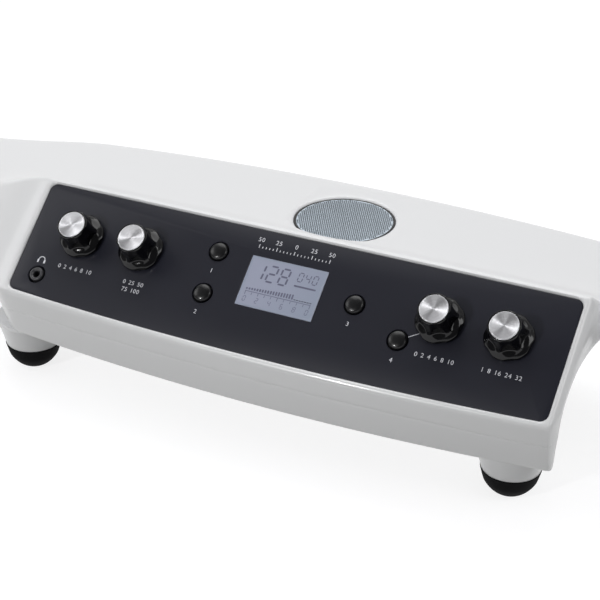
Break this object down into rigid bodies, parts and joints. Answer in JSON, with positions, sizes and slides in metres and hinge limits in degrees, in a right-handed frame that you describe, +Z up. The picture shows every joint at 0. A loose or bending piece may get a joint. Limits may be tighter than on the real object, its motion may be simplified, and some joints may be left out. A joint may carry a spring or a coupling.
{
  "type": "theremin",
  "caption": "Table-top theremin: white moulded housing, sloping black control panel with fluted knobs, domed buttons and a display, deck loudspeaker, pitch rod and volume loop.",
  "frame": {"origin": "middle of the stand thread's mouth, on the flat underside of the housing", "axes": "+X to the player's right, towards the pitch rod; +Y away from the player; +Z up; -Z points out of the stand thread"},
  "size_m": [0.6405, 0.1687, 0.497],
  "materials": {
    "housing_white": "glossy moulded",
    "panel_black": "satin",
    "gloss_black": "glossy",
    "button_black": "satin gloss",
    "inlay_aluminium": "spun",
    "display_glass": "clear over pale blue",
    "module_grey": "satin",
    "board_green": "solder mask",
    "jack_black": "satin",
    "plated_steel": "polished",
    "zinc_steel": "satin",
    "grille_metal": "satin",
    "foot_rubber": "matte",
    "cone_paper": "matte"
  },
  "bodies": {
    "housing": {"top_shell": "housing_white", "bottom_shell": "housing_white", "control_panel": "panel_black", "display_window": "display_glass", "display_module": "module_grey", "headphone_jack": "jack_black", "control_board": "board_green", "volume_pot": "zinc_steel", "pitch_correction_pot": "zinc_steel", "amount_pot": "zinc_steel", "presets_encoder": "zinc_steel", "pot_nuts": "plated_steel", "button_switches": "module_grey", "speaker_grille": "grille_metal", "speaker_ring": "gloss_black", "speaker_frame": "jack_black", "speaker_cone": "cone_paper", "speaker_magnet": "zinc_steel", "main_board": "board_green", "board_standoffs": "plated_steel", "rear_panel": "panel_black", "rear_board": "board_green", "left_output_jack": "jack_black", "right_output_jack": "jack_black", "pitch_cv_jack": "jack_black", "jack_nuts": "plated_steel", "usb_socket": "zinc_steel", "power_inlet": "gloss_black", "power_switch_body": "jack_black", "stand_insert": "plated_steel", "front_left_foot": "foot_rubber", "front_right_foot": "foot_rubber", "rear_left_foot": "foot_rubber", "rear_right_foot": "foot_rubber", "housing_screws": "zinc_steel", "pitch_antenna": "plated_steel", "pitch_antenna_socket": "jack_black", "volume_loop": "plated_steel", "volume_loop_ferrules": "jack_black", "pitch_sensor_board": "board_green", "volume_sensor_board": "board_green"},
    "volume_knob_set": {"volume_knob": "gloss_black", "volume_knob_inlay": "inlay_aluminium", "volume_shaft": "zinc_steel"},
    "pitch_correction_knob_set": {"pitch_correction_knob": "gloss_black", "pitch_correction_knob_inlay": "inlay_aluminium", "pitch_correction_shaft": "zinc_steel"},
    "amount_knob_set": {"amount_knob": "gloss_black", "amount_knob_inlay": "inlay_aluminium", "amount_shaft": "zinc_steel"},
    "presets_knob_set": {"presets_knob": "gloss_black", "presets_knob_inlay": "inlay_aluminium", "presets_shaft": "zinc_steel"},
    "scale_button_set": {"scale_button": "button_black"},
    "root_button_set": {"root_button": "button_black"},
    "setup_button_set": {"setup_button": "button_black"},
    "effect_button_set": {"effect_button": "button_black"},
    "power_rocker_set": {"power_rocker": "gloss_black"}
  },
  "joints": [
    {"name": "volume_turn", "type": "hinge", "parent": "housing", "child": "volume_knob_set", "pos_m": [-0.1134, -0.04668, 0.05712], "axis": [0, -0.6428, 0.766], "range_deg": [-150, 150]},
    {"name": "pitch_correction_turn", "type": "hinge", "parent": "housing", "child": "pitch_correction_knob_set", "pos_m": [-0.079, -0.04637, 0.05737], "axis": [0, -0.6428, 0.766], "range_deg": [-150, 150]},
    {"name": "amount_turn", "type": "hinge", "parent": "housing", "child": "amount_knob_set", "pos_m": [0.0816, -0.04676, 0.05705], "axis": [0, -0.6428, 0.766], "range_deg": [-150, 150]},
    {"name": "presets_turn", "type": "hinge", "parent": "housing", "child": "presets_knob_set", "pos_m": [0.1157, -0.04699, 0.05686], "axis": [0, -0.6428, 0.766], "continuous": true},
    {"name": "scale_press", "type": "slide", "parent": "housing", "child": "scale_button_set", "axis": [0, 0.6428, -0.766], "range_m": [0, 0.0008], "stiffness_N_per_m": 1500, "springref_m": -0.0006},
    {"name": "root_press", "type": "slide", "parent": "housing", "child": "root_button_set", "axis": [0, 0.6428, -0.766], "range_m": [0, 0.0008], "stiffness_N_per_m": 1500, "springref_m": -0.0006},
    {"name": "setup_press", "type": "slide", "parent": "housing", "child": "setup_button_set", "axis": [0, 0.6428, -0.766], "range_m": [0, 0.0008], "stiffness_N_per_m": 1500, "springref_m": -0.0006},
    {"name": "effect_press", "type": "slide", "parent": "housing", "child": "effect_button_set", "axis": [0, 0.6428, -0.766], "range_m": [0, 0.0008], "stiffness_N_per_m": 1500, "springref_m": -0.0006},
    {"name": "power_rock", "type": "hinge", "parent": "housing", "child": "power_rocker_set", "pos_m": [-0.062, 0.073, 0.031], "axis": [1, 0, 0], "range_deg": [-20, 0]}
  ]
}
